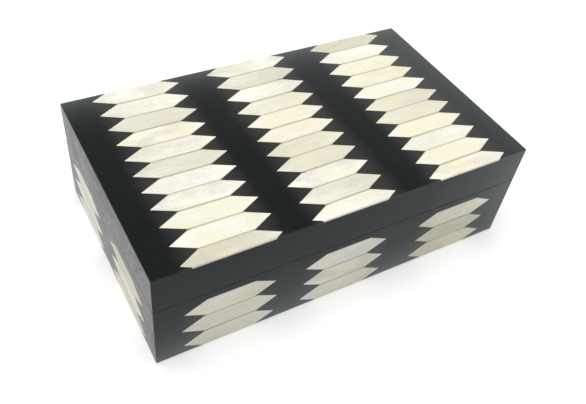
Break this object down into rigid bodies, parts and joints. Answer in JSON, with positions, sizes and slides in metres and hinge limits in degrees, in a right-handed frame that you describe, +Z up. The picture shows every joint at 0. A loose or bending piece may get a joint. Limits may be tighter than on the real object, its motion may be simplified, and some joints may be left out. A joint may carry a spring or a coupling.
{
  "type": "inlaid wooden box",
  "caption": "Low hinged wooden keepsake box, satin black, with rows of pointed hexagonal bone tiles inlaid flush on lid and sides; the lid swings up on brass butt hinges.",
  "frame": {"origin": "middle of the underside, on the surface that the box stands on", "axes": "+X along the box's length to its right as seen from the front, +Y to the back where the hinges are, +Z up"},
  "size_m": [0.254, 0.1524, 0.0762],
  "materials": {
    "black_sheet": "ebonised, satin lacquer",
    "bone": "polished bone",
    "case_wood": "oiled",
    "brass": "polished",
    "base_felt": "pressed felt",
    "lining_felt": "brushed felt"
  },
  "bodies": {
    "base": {"base_front_wall": "case_wood", "base_back_wall": "case_wood", "base_left_wall": "case_wood", "base_right_wall": "case_wood", "base_bottom_panel": "case_wood", "base_felt": "base_felt", "floor_lining": "lining_felt", "base_front_field": "black_sheet", "base_back_field": "black_sheet", "base_left_field": "black_sheet", "base_right_field": "black_sheet", "front_left_tiles": "bone", "front_middle_tiles": "bone", "front_right_tiles": "bone", "back_left_tiles": "bone", "back_middle_tiles": "bone", "back_right_tiles": "bone", "left_rear_tiles": "bone", "left_front_tiles": "bone", "right_rear_tiles": "bone", "right_front_tiles": "bone", "left_hinge_base_leaf": "brass", "right_hinge_base_leaf": "brass", "left_hinge_pin": "brass", "right_hinge_pin": "brass", "base_hinge_screws": "brass"},
    "lid": {"lid_front_wall": "case_wood", "lid_back_wall": "case_wood", "lid_left_wall": "case_wood", "lid_right_wall": "case_wood", "lid_top_panel": "case_wood", "lid_front_field": "black_sheet", "lid_back_field": "black_sheet", "lid_left_field": "black_sheet", "lid_right_field": "black_sheet", "lid_top_field": "black_sheet", "top_left_tiles": "bone", "top_middle_tiles": "bone", "top_right_tiles": "bone", "left_hinge_lid_leaf": "brass", "right_hinge_lid_leaf": "brass", "lid_hinge_screws": "brass"}
  },
  "joints": [
    {"name": "lid_hinge", "type": "hinge", "parent": "base", "child": "lid", "pos_m": [0, 0.0742, 0.0492], "axis": [-1, 0, 0], "range_deg": [0, 100]}
  ]
}
